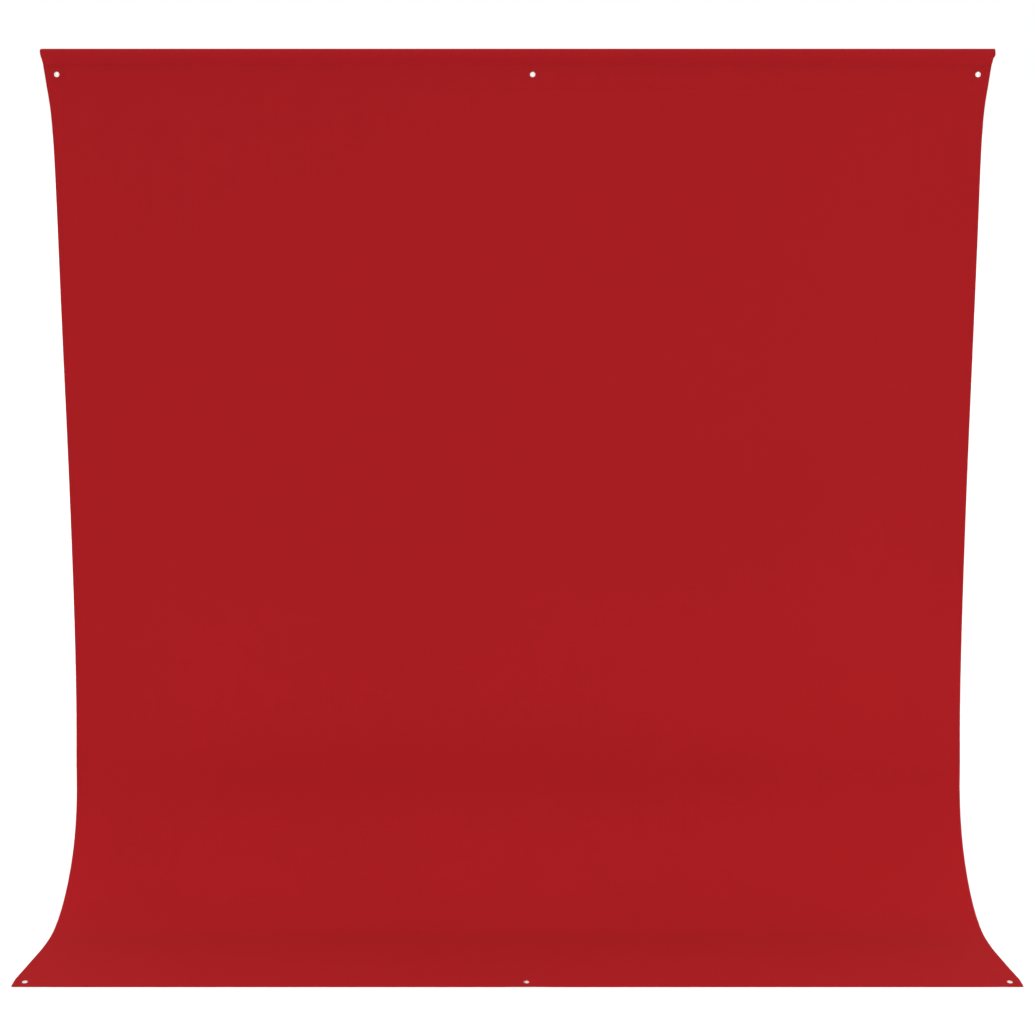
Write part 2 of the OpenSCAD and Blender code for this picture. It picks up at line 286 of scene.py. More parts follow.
def sheet_path(along, x):
    """Middle of the outer layer and its normal: (y, z, normal y, normal z)."""
    # hanging line, the kink under the header eased out
    below = np.maximum(along - TO_HINGE, 0)
    kink = 0.06
    bent = 1 - np.exp(-below / kink)
    lag = kink * bent * (1 - ease((below - 0.1) / 1.3))
    line_y = LEG_Y - (below - lag) * math.sin(LEAN)
    line_z = HINGE_Z - (along - TO_HINGE) * np.where(along > TO_HINGE, math.cos(LEAN), 1.0)
    hanging = along < TO_SWEEP
    airborne = along < TO_FLOOR
    angle = np.where(hanging, bent * LEAN, LEAN + (along - TO_SWEEP) / SWEEP)
    angle = np.clip(angle, 0, math.pi / 2)
    arc_y = ARC_Y + SWEEP * np.cos(angle)
    arc_z = ARC_Z - SWEEP * np.sin(angle)
    flat_y = ARC_Y - (along - TO_FLOOR)
    y = np.where(hanging, line_y, np.where(airborne, arc_y, flat_y))
    z = np.where(hanging, line_z, np.where(airborne, arc_z, FLOOR_Z))
    norm_y, norm_z = -np.cos(angle), np.sin(angle)
    # thin header: the layers lie on each other except round the patches
    parted = patch_gap(x, z, TOP_SPOTS, PATCH_TOP)
    slack = (0.00039 - 0.00038 * parted) * (1 - ease((along - TO_HINGE) / 0.09)) * hanging
    y = y + slack * ease((along - TO_BAND + 0.02) / 0.02)
    # the apron sinks to the floor except where washers hold it up
    sink = ease((along - TO_FOLD) / (TO_FLOOR - TO_FOLD))
    drop = FLOOR_Z - (CLOTH / 2 + LAYER_GAP + CLOTH + 0.00012) - 0.0002
    held = washer_lift(x, y)
    parted = patch_gap(x, y, FRONT_SPOTS, PATCH_FRONT)
    z = z - sink * drop * (1 - held) - sink * 0.00038 * held * (1 - parted)
    z = z + hem_pucker(x, y) * (along > TO_FLOOR)
    wave = waves(along, x)
    return y + norm_y * wave, z + norm_z * wave, norm_y, norm_z


def pocket_path(along):
    """The same for the pocket loop; `along` is negative at the back."""
    turn = np.abs(along) / POCKET_MID
    turn_end = math.pi / 2 + HUG
    angle = np.minimum(turn, turn_end)
    straight = turn > turn_end
    # straight run from the loop to the seam
    run = POCKET_MID / math.tan(HUG)
    part = np.clip((turn - turn_end) * POCKET_MID / run, 0, 1)
    start_y, start_z = -POCKET_MID * math.sin(turn_end), POCKET_MID * math.cos(turn_end)
    end_y, end_z = -CLOTH / 2 - LAYER_GAP, -APEX
    ease_off = 0.16  # the two layers part gently above the seam
    left = 1 - part
    fall = left**2 * (1 + ease_off) / (left + ease_off)
    slope = left * (1 + ease_off) * (left + 2 * ease_off) / (left + ease_off) ** 2
    tilt = np.arctan2((end_y - start_y) * slope, start_z - end_z)
    y = np.where(straight, end_y + (start_y - end_y) * fall, -POCKET_MID * np.sin(angle))
    z = np.where(straight, start_z + (end_z - start_z) * part, POCKET_MID * np.cos(angle))
    norm_y = np.where(straight, -np.cos(tilt), -np.sin(angle))
    norm_z = np.where(straight, -np.sin(tilt), np.cos(angle))
    side = np.where(along < 0, -1.0, 1.0)
    return BAR_Y + side * y, ROD_Z + z, side * norm_y, norm_z


def hem_height(x, y, under=False):
    """Height of the middle of one layer of the front hem."""
    z = sheet_path(LENGTH - (y - FRONT_Y), x)[1]
    if under:
        z = z - CLOTH - (LAYER_GAP + 0.00078 * patch_gap(x, y, FRONT_SPOTS, PATCH_FRONT))
    return z


def band_face(x, z, back, lift=0.0):
    """Points `lift` outside the middle of a layer of the top band, and their normals."""
    z = z + 0 * x
    y = sheet_path(TO_BAND + (BAND_Z - z), x)[0] - lift
    if back:
        y = 2 * BAR_Y - y
    y = y + band_pucker(x, z)
    return np.stack([x, y, z], 1), np.tile([0.0, 1.0 if back else -1.0, 0.0], (len(x), 1))


def hem_face(x, y, under, lift=0.0):
    """The same for the front hem."""
    y = y + 0 * x
    up = -1.0 if under else 1.0
    z = hem_height(x, y, under) + up * lift
    return np.stack([x, y, z], 1), np.tile([0.0, 0.0, up], (len(x), 1))


# ---------------------------------------------------------------- mesh tools
def make(name, verts, faces, uvs, sharp=None):
    """Smooth-shaded mesh object with one UV per vertex; `sharp` is an edge angle in degrees."""
    mesh = bpy.data.meshes.new(name)
    mesh.from_pydata([tuple(vert) for vert in verts], [], faces)
    mesh.validate(clean_customdata=False)
    layer = mesh.uv_layers.new(name="UVMap")
    corner_verts = np.zeros(len(mesh.loops), np.int32)
    mesh.loops.foreach_get("vertex_index", corner_verts)
    layer.data.foreach_set("uv", np.asarray(uvs, np.float32)[corner_verts].ravel())
    mesh.polygons.foreach_set("use_smooth", [True] * len(mesh.polygons))
    mesh.update()
    piece = bpy.data.objects.new(name, mesh)
    bpy.context.scene.collection.objects.link(piece)
    if sharp is not None:
        mesh.set_sharp_from_angle(angle=math.radians(sharp))
    return piece


def unit(vectors):
    return vectors / np.linalg.norm(vectors, axis=-1, keepdims=True)


def thick_sheet(name, mid, normal, uv, outer, inner=CLOTH / 2, holes=()):
    """A sheet of cloth with both faces and its rims.

    mid and normal are rows x columns x 3, outer and inner the thickness either side of mid.
    Each hole is (first row, last row, first column, last column, ring): those cells are cut
    out and ring(points, uvs) gives the loops of points that round the opening off.
    """
    rows, columns = mid.shape[:2]
    count = rows * columns
    flat_mid, flat_uv = mid.reshape(-1, 3), uv.reshape(-1, 2)
    verts = [
        (mid + normal * np.asarray(outer)[..., None]).reshape(-1, 3),
        (mid - normal * np.asarray(inner)[..., None]).reshape(-1, 3),
    ]
    uvs = [flat_uv, flat_uv]
    index = np.arange(count).reshape(rows, columns)
    keep = np.ones((rows - 1, columns - 1), bool)
    for i0, i1, j0, j1, _ in holes:
        keep[i0:i1, j0:j1] = False
    corners = [index[:-1, :-1], index[:-1, 1:], index[1:, 1:], index[1:, :-1]]
    corners = [corner[keep] for corner in corners]
    quads = [np.stack(corners[:1] + corners[:0:-1], 1), np.stack(corners, 1) + count]
    for rim in (index[0, :], index[-1, ::-1], index[::-1, 0], index[:, -1]):
        quads.append(np.stack([rim[:-1], rim[1:], rim[1:] + count, rim[:-1] + count], 1))
    total = 2 * count
    for i0, i1, j0, j1, ring in holes:
        edge = (
            [(i0, j) for j in range(j0, j1)]
            + [(i, j1) for i in range(i0, i1)]
            + [(i1, j) for j in range(j1, j0, -1)]
            + [(i, j0) for i in range(i1, i0, -1)]
        )
        outline = np.array([index[i, j] for i, j in edge])
        size = len(outline)
        after = np.roll(np.arange(size), -1)
        top, low = outline, outline + count
        for top_points, low_points, loop_uv in ring(flat_mid[outline], flat_uv[outline]):
            verts += [top_points, low_points]
            uvs += [loop_uv, loop_uv]
            next_top = np.arange(total, total + size)
            next_low = next_top + size
            total += 2 * size
            quads.append(np.stack([top, next_top, next_top[after], top[after]], 1))
            quads.append(np.stack([low, low[after], next_low[after], next_low], 1))
            top, low = next_top, next_low
        quads.append(np.stack([top, low, low[after], top[after]], 1))
    faces = np.concatenate(quads).tolist()
    return make(name, np.concatenate(verts), faces, np.concatenate(uvs), sharp=50)


def hole_ring(spot, axis, face, back):
    """Loops that take a square opening down to the round hole, on the layer given by `face`.
    `axis` is the index of the spot's second coordinate."""

    def ring(points, uvs):
        across, other = points[:, 0] - spot[0], points[:, axis] - spot[1]
        angle = np.arctan2(other, across)
        ones = np.ones_like(across)
        # the square's own corners give the UV frame
        to_uv = np.linalg.lstsq(np.stack([across, other, ones], 1), uvs, rcond=None)[0]
        loops = []
        for part in (0.25, 0.5, 0.75, 1.0):
            loop_x = across * (1 - part) + np.cos(angle) * HOLE * part
            loop_other = other * (1 - part) + np.sin(angle) * HOLE * part
            mid, normal = face(spot[0] + loop_x, spot[1] + loop_other, back)
            half = normal * CLOTH / 2 * (1 - 0.25 * part)
            loop_uv = np.stack([loop_x, loop_other, ones], 1) @ to_uv
            loops.append((mid + half, mid - half, loop_uv))
        return loops

    return ring


def band_holes(spots, axis, face, columns, first, rows):
    """Openings in both layers of a doubled band; `first` is the first punched row."""
    holes = []
    for spot, (j0, j1) in zip(spots, columns):
        for back, i0 in ((False, first), (True, rows - 1 - (first + 8))):
            holes.append((i0, i0 + 8, j0, j1, hole_ring(spot, axis, face, back)))
    return holes


def band_columns(spots, patch, left, right):
    """Columns of a doubled band: even ones, closer ones round each grommet and its patch, and
    ones that close in on the two side edges. Gives x as rows x columns, and the first and last
    column of each opening."""
    near = [patch + d for d in (-0.0007, 0.0001, 0.0008, 0.0016, 0.0024, 0.005, 0.010)]
    fine = set()
    for i, (spot_x, _) in enumerate(spots):
        for k in range(-4, 5):
            fine.add(round(spot_x + k * CELL, 6))
        for distance in near:
            if i > 0:
                fine.add(round(spot_x - distance, 6))
            if i < 2:
                fine.add(round(spot_x + distance, 6))
    fine = sorted(fine)
    inner = [fine[0]]
    for x in fine[1:]:
        steps = max(1, int(math.ceil((x - inner[-1]) / 0.0095)))
        start = inner[-1]
        inner += [start + (x - start) * (k + 1) / steps for k in range(steps - 1)] + [x]
    closing = (0.0, 0.02, 0.08, 0.2, 0.4, 0.58, 0.7, 0.78, 0.84, 0.9, 0.95)
    columns = [-left + (inner[0] + left) * part for part in closing]
    columns += [np.full(len(left), x) for x in inner]
    columns += [right + (inner[-1] - right) * part for part in closing[::-1]]
    starts = []
    for spot_x, _ in spots:
        nearest = np.argmin(np.abs(np.array(inner) - (spot_x - 4 * CELL)))
        starts.append(len(closing) + int(nearest))
    return np.stack(columns, 1), [(j, j + 8) for j in starts]


# ---------------------------------------------------------------- material tools
class Graph:
    """Builds shader nodes; a value may be a number, a colour or another node's output."""

    def __init__(self, tree):
        self.tree = tree
        tree.nodes.clear()

    def new(self, kind, **settings):
        node = self.tree.nodes.new(kind)
        for key, value in settings.items():
            setattr(node, key, value)
        return node

    def put(self, socket, value):
        if isinstance(value, bpy.types.NodeSocket):
            self.tree.links.new(value, socket)
        else:
            socket.default_value = value

    def fill(self, node, values):
        for key, value in values.items():
            self.put(node.inputs[key], value)

    def uv(self):
        return self.new("ShaderNodeUVMap", uv_map="UVMap").outputs[0]

    def coord(self, kind="Object"):
        return self.new("ShaderNodeTexCoord").outputs[kind]

    def split(self, vector):
        node = self.new("ShaderNodeSeparateXYZ")
        self.put(node.inputs[0], vector)
        return node.outputs

    def math(self, operation, *values):
        node = self.new("ShaderNodeMath", operation=operation)
        for socket, value in zip(node.inputs, values):
            self.put(socket, value)
        return node.outputs[0]

    def mapped(self, vector, **values):
        node = self.new("ShaderNodeMapping")
        self.put(node.inputs[0], vector)
        self.fill(node, values)
        return node.outputs[0]

    def noise(self, vector, scale, detail=2.0, rough=0.5):
        node = self.new("ShaderNodeTexNoise")
        values = {"Vector": vector, "Scale": scale, "Detail": detail, "Roughness": rough}
        self.fill(node, values)
        return node.outputs["Fac"]

    def remap(self, value, to, span=(0.3, 0.7)):
        node = self.new("ShaderNodeMapRange")
        for socket, number in zip(node.inputs, (value, *span, *to)):
            self.put(socket, number)
        return node.outputs[0]

    def mix(self, share, first, second):
        node = self.new("ShaderNodeMix", data_type="RGBA")
        self.fill(node, {0: share, 6: first, 7: second})
        return node.outputs[2]

    def shade(self, colour, value):
        node = self.new("ShaderNodeHueSaturation")
        self.fill(node, {"Color": colour, "Value": value})
        return node.outputs[0]

    def bump(self, height, strength, distance, normal=None):
        node = self.new("ShaderNodeBump")
        self.fill(node, {"Strength": strength, "Distance": distance, "Height": height})
        if normal is not None:
            self.put(node.inputs["Normal"], normal)
        return node.outputs[0]


def principled(name):
    material = bpy.data.materials.new(name)
    material.use_nodes = True
    graph = Graph(material.node_tree)
    output = graph.new("ShaderNodeOutputMaterial")
    shader = graph.new("ShaderNodeBsdfPrincipled")
    graph.put(output.inputs[0], shader.outputs[0])
    return material, graph, shader


# ---------------------------------------------------------------- materials
def knit_material():
    """Fine jersey knit, very matte, dyed red: wales and courses, painted shade in the gaps
    between the loops, yarn fuzz, random changes of tone.
    """
    material, graph, shader = principled("knit_red")
    math_node = graph.math
    uv = graph.uv()
    across, along = graph.split(uv)[:2]
    wale, course = 0.00095, 0.00082  # width and height of a stitch
    wobble = graph.noise(uv, scale=900.0)
    stitch = math_node(
        "ADD", math_node("DIVIDE", across, wale), math_node("MULTIPLY", wobble, 0.22)
    )
    # 0 at a stitch's middle, 0.5 at its sides
    off_middle = math_node(
        "ABSOLUTE", math_node("SUBTRACT", math_node("FRACT", stitch), 0.5)
    )
    row = math_node("DIVIDE", along, course)
    slanted = math_node("ADD", row, math_node("MULTIPLY", off_middle, 1.15))
    legs = math_node("ABSOLUTE", math_node("SINE", math_node("MULTIPLY", slanted, math.pi)))
    groove = math_node("MULTIPLY", math_node("FRACT", stitch), math.pi)
    groove = math_node("POWER", math_node("SINE", groove), 0.6)
    knit = math_node("MULTIPLY", math_node("POWER", legs, 0.7), groove)

    fuzz = graph.noise(uv, scale=5200.0, detail=3.0, rough=0.7)
    slub = graph.noise(uv, scale=14.0, detail=4.0, rough=0.55)
    cloud = graph.noise(uv, scale=1.3, detail=3.0)
    streak = graph.mapped(uv, Scale=(160.0, 1.2, 1.0))
    streak = graph.noise(streak, scale=1.0, detail=3.0, rough=0.6)
    bar = graph.mapped(uv, Scale=(0.8, 210.0, 1.0))
    bar = graph.noise(bar, scale=1.0, rough=0.6)

    base = (0.327, 0.0091, 0.0118, 1)
    dark = (0.247, 0.0056, 0.0076, 1)
    light = (0.367, 0.0116, 0.0145, 1)
    # painted shade: the colour darkens in the gaps between the loops and their legs, following
    # the knit's relief
    colour = graph.mix(graph.remap(knit, span=(0.0, 1.0), to=(0.0, 1.0)), dark, light)
    colour = graph.mix(0.62, colour, base)
    change = math_node(
        "ADD",
        math_node(
            "ADD",
            graph.remap(cloud, to=(-0.012, 0.012)),
            graph.remap(slub, to=(-0.010, 0.010)),
        ),
        math_node(
            "ADD",
            graph.remap(streak, to=(-0.011, 0.011)),
            graph.remap(bar, to=(-0.009, 0.009)),
        ),
    )
    relief = graph.bump(slub, strength=0.25, distance=0.0016)
    relief = graph.bump(knit, strength=0.75, distance=0.00022, normal=relief)
    graph.fill(shader, {
        "Base Color": graph.shade(colour, math_node("ADD", change, 1.0)),
        "Roughness": graph.remap(fuzz, to=(0.86, 0.97)),
        "Specular IOR Level": 0.06,
        "Sheen Weight": 0.02,
        "Sheen Roughness": 0.5,
        "Sheen Tint": (1.0, 0.35, 0.35, 1),
        "Normal": graph.bump(fuzz, strength=0.35, distance=0.00007, normal=relief),
    })
    return material


def thread_material():
    """Twisted sewing thread, a slightly deeper red than the cloth, with a soft shine and painted
    shade in the grooves of its twist.
    """
    material, graph, shader = principled("thread_red")
    uv = graph.uv()
    wave = graph.new("ShaderNodeTexWave", wave_type="BANDS", bands_direction="DIAGONAL")
    graph.fill(wave, {"Vector": uv, "Scale": 3.2, "Distortion": 0.8})
    twist = wave.outputs["Fac"]
    tone = graph.noise(graph.coord(), scale=60.0)
    # painted shade: darker in the grooves of the twist, lighter on its ridges
    colour = graph.mix(twist, (0.20, 0.006, 0.009, 1), (0.36, 0.013, 0.017, 1))
    graph.fill(shader, {
        "Base Color": graph.shade(colour, graph.remap(tone, to=(0.93, 1.07))),
        "Roughness": graph.remap(twist, span=(0, 1), to=(0.62, 0.46)),
        "Specular IOR Level": 0.15,
        "Sheen Weight": 0.03,
        "Sheen Tint": (1.0, 0.3, 0.3, 1),
        "Normal": graph.bump(twist, strength=0.6, distance=0.00008),
    })
    return material


def nickel_material(name, tone, rough, metal):
    """Nickel plate on pressed brass: fine turning lines, cloudy patches, worn scuffs."""
    material, graph, shader = principled(name)
    coord = graph.coord()
    lines = graph.mapped(graph.uv(), Scale=(1.5, 120.0, 1.0))
    lines = graph.noise(lines, scale=1.0, detail=3.0, rough=0.6)
    cloud = graph.noise(coord, scale=420.0, detail=3.0, rough=0.55)
    scuff = graph.mapped(coord, Scale=(900.0, 240.0, 900.0), Rotation=(0.3, 0.5, 0.8))
    scuff = graph.noise(scuff, scale=1.0, detail=5.0, rough=0.72)
    wear = graph.math(
        "MULTIPLY",
        graph.remap(scuff, span=(0.58, 0.66), to=(0.0, 1.0)),
        graph.remap(cloud, span=(0.45, 0.6), to=(0.0, 1.0)),
    )
    dull = (0.74 * tone, 0.735 * tone, 0.715 * tone, 1)
    bright = (0.88 * tone, 0.875 * tone, 0.855 * tone, 1)
    brass = (0.62, 0.52, 0.36, 1)
    colour = graph.mix(cloud, dull, bright)
    colour = graph.mix(graph.math("MULTIPLY", wear, 0.45), colour, brass)
    roughness = graph.math(
        "ADD",
        graph.remap(cloud, to=(rough - 0.05, rough + 0.08)),
        graph.math("MULTIPLY", wear, 0.25),
    )
    relief = graph.bump(lines, strength=0.25, distance=0.00004)
    graph.fill(shader, {
        "Base Color": colour,
        "Metallic": metal,
        "Roughness": roughness,
        "Normal": graph.bump(scuff, strength=0.2, distance=0.00004, normal=relief),
    })
    return material


def canvas_material():
    """Plain-woven stiffening cloth inside the bands, with painted shade in the hollows of the
    weave.
    """
    material, graph, shader = principled("patch_canvas")
    coord = graph.coord()
    axes = graph.split(coord)
    pitch = math.pi / 0.0007  # radians per metre
    warp = graph.math("SINE", graph.math("MULTIPLY", axes[0], pitch))
    weft = graph.math("MULTIPLY", graph.math("ADD", axes[1], axes[2]), pitch)
    weft = graph.math("SINE", weft)
    weave = graph.math("MULTIPLY", graph.math("MULTIPLY", warp, weft), 0.5)
    weave = graph.math("ADD", weave, 0.5)
    mottle = graph.noise(coord, scale=700.0, detail=3.0)
    # painted shade: lighter where the threads cross over, darker in the hollows between them
    colour = graph.mix(weave, (0.60, 0.57, 0.50, 1), (0.80, 0.78, 0.72, 1))
    colour = graph.mix(graph.remap(mottle, to=(0.0, 0.2)), colour, (0.62, 0.58, 0.5, 1))
    graph.fill(shader, {
        "Base Color": colour,
        "Roughness": graph.remap(mottle, to=(0.85, 0.95)),
        "Normal": graph.bump(weave, strength=0.7, distance=0.00015),
    })
    return material


def label_material():
    """White woven satin tape, blank."""
    material, graph, shader = principled("label_satin")
    uv = graph.uv()
    across, along = graph.split(uv)[:2]

    def threads(place, pitch):
        return graph.math("SINE", graph.math("MULTIPLY", place, 2 * math.pi / pitch))

    warp = threads(across, pitch=0.00035)
    weft = threads(along, pitch=0.00042)
    twill = threads(graph.math("ADD", across, along), pitch=0.0013)
    weave = graph.math(
        "ADD",
        graph.math("MULTIPLY", warp, 0.6),
        graph.math("MULTIPLY", graph.math("ADD", weft, twill), 0.25),
    )
    mottle = graph.noise(uv, scale=120.0, detail=3.0)
    share = graph.remap(mottle, to=(0.0, 1.0))
    graph.fill(shader, {
        "Base Color": graph.mix(share, (0.80, 0.80, 0.78, 1), (0.87, 0.87, 0.86, 1)),
        "Roughness": graph.remap(mottle, to=(0.36, 0.5)),
        "Sheen Weight": 0.2,
        "Normal": graph.bump(weave, strength=0.5, distance=0.00006),
    })
    return material


KNIT = knit_material()
THREAD = thread_material()
EYELET = nickel_material("nickel_eyelet", tone=1.0, rough=0.36, metal=0.72)
WASHER = nickel_material("nickel_washer", tone=0.92, rough=0.38, metal=0.8)
CANVAS = canvas_material()
LABEL = label_material()


def dress(piece, material):
    piece.data.materials.append(material)
    return piece


# ---------------------------------------------------------------- the cloth
def side_section():
    """Side of the sheet as (inset, offset, normal inwards, normal outwards from the sheet), from
    well inside out to the folded edge and back under it."""
    plain = (
        0.070, 0.061, 0.052, 0.047, 0.042, 0.037, 0.032, 0.027, 0.022, 0.017, 0.0145,
        0.0132, 0.012, 0.0110, 0.0105, 0.0100, 0.0095, 0.0090, 0.0075, 0.005, 0.003, 0.0018,
    )
    points = [(inset, 0.0, 0.0, 1.0) for inset in plain]
    centre = FOLD_R + CLOTH / 2
    for k in range(9):
        angle = math.pi * k / 8
        sine, cosine = math.sin(angle), math.cos(angle)
        points.append((centre - FOLD_R * sine, -FOLD_R + FOLD_R * cosine, -sine, cosine))
    turned = (
        0.0018, 0.003, 0.005, 0.0075, 0.0090, 0.0095,
        0.0100, 0.0105, 0.0110, 0.012, 0.0126, HEM_SIDE,
    )
    return points + [(inset, -2 * FOLD_R, 0.0, -1.0) for inset in turned]


SIDE = side_section()


def body_sheet(name, stations):
    """The single layer between the header and the front hem, with its turned side hems."""
    left, right = edge_x(stations, -1), edge_x(stations, 1)

    def thinned(inset):
        """Share of thickness left where the seam pulls in."""
        return 1 - 0.45 * bump(inset, SIDE_SEAM, 0.0007)

    # x, offset, normal x, normal out, thickness
    columns = []
    for inset, offset, inwards, outwards in reversed(SIDE):
        columns.append((inset - left, offset, inwards, outwards, thinned(inset)))
    for part in np.linspace(-1, 1, 101):
        edge = left if part < 0 else right
        columns.append((part * (edge - 0.080), 0.0, 0.0, 1.0, 1.0))
    for inset, offset, inwards, outwards in SIDE:
        columns.append((right - inset, offset, -inwards, outwards, thinned(inset)))
    plain_x, offset, norm_x, norm_out, thickness = (
        np.stack([column[k] + 0 * stations for column in columns], 1) for k in range(5)
    )
    x = plain_x + drift(stations)[:, None]
    along = np.repeat(stations[:, None], x.shape[1], 1)
    left, right = left[:, None], right[:, None]
    y, z, norm_y, norm_z = sheet_path(along, x)
    inset = np.minimum(plain_x + left, right - plain_x)
    near = np.exp(-np.maximum(inset, 0) / 0.02)
    out = offset + side_pucker(along, np.sign(x)) * near * side_calm(along)
    mid = np.stack([x, y + norm_y * out, z + norm_z * out], 2)
    normal = unit(np.stack([norm_x, norm_y * norm_out, norm_z * norm_out], 2))
    # UV: metres across and along the cloth, running on round the fold
    across = plain_x.copy()
    count = len(SIDE)
    way = np.where(offset < -FOLD_R, -1, 1)
    across[:, :count] = (-left + (plain_x + left) * way)[:, :count]
    across[:, -count:] = (right - (right - plain_x) * way)[:, -count:]
    uv = np.stack([across, -along], 2)
    return thick_sheet(name, mid, normal, uv, CLOTH / 2 * thickness)


def rows_between(start, end, step):
    return np.linspace(start, end, max(2, int(round((end - start) / step)) + 1))


def header_sheet():
    """Pocket loop and the two layers of the top band, one folded piece."""
    # heights of the mesh lines, closer at the seams and round the patches
    seam = (0.0, 0.0014, 0.0022, 0.0029, 0.0036, 0.0044, 0.006)
    clear = (0.0075, 0.0045, 0.0024, 0.0016, 0.0008, 0.0001, -0.0007)
    clear = [PATCH_TOP + d for d in clear]
    below_top = (0.0045, 0.0030, 0.0024, 0.0017, 0.0010, 0.0004, 0.0)
    low = [HINGE_Z + d for d in seam] + [GROMMET_Z - d for d in clear]
    punched = [GROMMET_Z + k * CELL for k in range(-4, 5)]
    high = [GROMMET_Z + d for d in clear[::-1]] + [BAND_Z - d for d in below_top]
    leg = TO_BAND + (BAND_Z - np.array(low + punched + high))
    taper = TO_BAND - np.array([0.0006, 0.0015, 0.003, 0.006, 0.010])
    loop = np.linspace(taper[-1], -taper[-1], 73)[1:-1]
    # front leg from the hinge line up, over the fold, down the back leg
    stations = np.concatenate([leg, taper, loop, -taper[::-1], -leg[::-1]])
    stations[-1] = -(TO_HINGE - 0.0009)
    x, columns = band_columns(
        TOP_SPOTS, PATCH_TOP, edge_x(stations, -1), edge_x(stations, 1)
    )
    along = np.repeat(stations[:, None], x.shape[1], 1)
    on_leg = np.abs(along) >= TO_BAND - 1e-9
    leg_y, leg_z, leg_ny, leg_nz = sheet_path(np.maximum(np.abs(along), TO_BAND), x)
    leg_y = np.where(along < 0, 2 * BAR_Y - leg_y, leg_y)
    leg_ny = np.where(along < 0, -leg_ny, leg_ny)
    y, z, norm_y, norm_z = (
        np.where(on_leg, on_band, on_loop)
        for on_band, on_loop in zip((leg_y, leg_z, leg_ny, leg_nz), pocket_path(along))
    )
    # the back layer's raw end is turned slightly outwards
    back_end = np.clip((np.abs(along) - (TO_HINGE - 0.004)) / 0.004, 0, 1) * (along < 0)
    y = y + 0.0003 * back_end + band_pucker(x, z) * on_leg
    dips = sum(bump(z, seam_z, 0.0008) for seam_z in (POCKET_SEAM_Z, HEADER_SEAM_Z)) * on_leg
    outer = CLOTH / 2 * (1 - 0.4 * np.clip(dips, 0, 1))
    mid = np.stack([x, y, z], 2)
    normal = unit(np.stack([0 * x, norm_y, norm_z], 2))
    uv = np.stack([x, -along], 2)
    holes = band_holes(TOP_SPOTS, 2, band_face, columns, first=len(low), rows=len(stations))
    return thick_sheet("header_cloth", mid, normal, uv, outer, holes=holes)


def front_hem_sheet():
    """Front hem: the outer layer, the turned front edge and the layer under it."""
    # distances of the mesh lines behind the front edge
    seam = (0.0, 0.0012, 0.0018, 0.0023, 0.0028, 0.0035, 0.005, 0.007)
    clear = (0.0045, 0.0024, 0.0016, 0.0008, 0.0001, -0.0007)
    clear = [PATCH_FRONT + d for d in clear]
    grommet = GROMMET_Y - FRONT_Y
    behind = [HEM_FRONT - d for d in seam] + [grommet + d for d in clear]
    punched = [grommet + k * CELL for k in range(4, -5, -1)]
    before = [grommet - d for d in clear[::-1] if grommet - d > 0.0022] + [0.0018]
    depths = np.array(behind + punched + before)
    count = len(depths)
    fold = np.linspace(0, math.pi, 11)
    stations = LENGTH - np.concatenate([depths, np.zeros(len(fold)), depths[::-1]])
    x, columns = band_columns(
        FRONT_SPOTS, PATCH_FRONT, edge_x(stations, -1), edge_x(stations, 1)
    )
    layer_y = FRONT_Y + depths[:, None] + 0 * x[:count]
    # the turned front edge
    fold_x = x[count:-count]
    turn = fold[:, None] + 0 * fold_x
    centre_y = FRONT_Y + FOLD_R + CLOTH / 2
    fold_top = hem_height(fold_x, centre_y + 0 * fold_x)
    fold_low = hem_height(fold_x, centre_y + 0 * fold_x, under=True)
    y = np.concatenate([layer_y, centre_y - FOLD_R * np.sin(turn), layer_y[::-1]])
    z = np.concatenate([
        hem_height(x[:count], layer_y),
        (fold_top + fold_low) / 2 + FOLD_R * np.cos(turn),
        hem_height(x[-count:], layer_y[::-1], under=True),
    ])
    facing = np.concatenate([np.zeros(count), fold, np.full(count, math.pi)])[:, None] + 0 * x
    outer = CLOTH / 2 * (1 - 0.4 * bump(y - FRONT_Y, FRONT_SEAM, 0.0008))
    mid = np.stack([x, y, z], 2)
    normal = np.stack([0 * x, -np.sin(facing), np.cos(facing)], 2)
    to_edge = np.concatenate([depths, np.linspace(0, -0.0013, len(fold)), -depths[::-1]])
    uv = np.stack([x, -(LENGTH - to_edge[:, None]) + 0 * x], 2)
    holes = band_holes(
        FRONT_SPOTS, 1, hem_face, columns, first=len(behind), rows=len(stations)
    )
    return thick_sheet("front_hem_cloth", mid, normal, uv, outer, holes=holes)


ROW_STEP = 0.0085
header = dress(header_sheet(), KNIT)
upper_rows = rows_between(TO_HINGE, TO_SPLIT, ROW_STEP)
upper = dress(body_sheet("curtain_cloth_upper", upper_rows), KNIT)
lower_rows = rows_between(TO_SPLIT, TO_HEM, ROW_STEP)
lower = dress(body_sheet("sweep_and_apron_cloth", lower_rows), KNIT)
hem = dress(front_hem_sheet(), KNIT)

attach(header, "header")
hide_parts("rod_pocket")
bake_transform(upper)
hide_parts("curtain_cloth", "curtain_left_hem", "curtain_right_hem")
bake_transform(lower)
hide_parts("apron_cloth", "apron_left_hem", "apron_right_hem")
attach(hem, "apron")
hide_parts("front_hem")


# ---------------------------------------------------------------- stitching
PITCH = 0.0031  # stitch length of the seams
PATCH_PITCH = 0.0029
THREAD_R = 0.00021
THREAD_SHOWN = 0.86  # share of each stitch's length that shows
THREAD_SINK = 0.00026  # depth of its ends in the cloth
THREAD_SIDES = 6
SEAM_LIFT = CLOTH / 2 * 0.6  # needle line above the middle of a layer
SEAM_MARGIN = 0.004  # from the end of a seam to the side edge


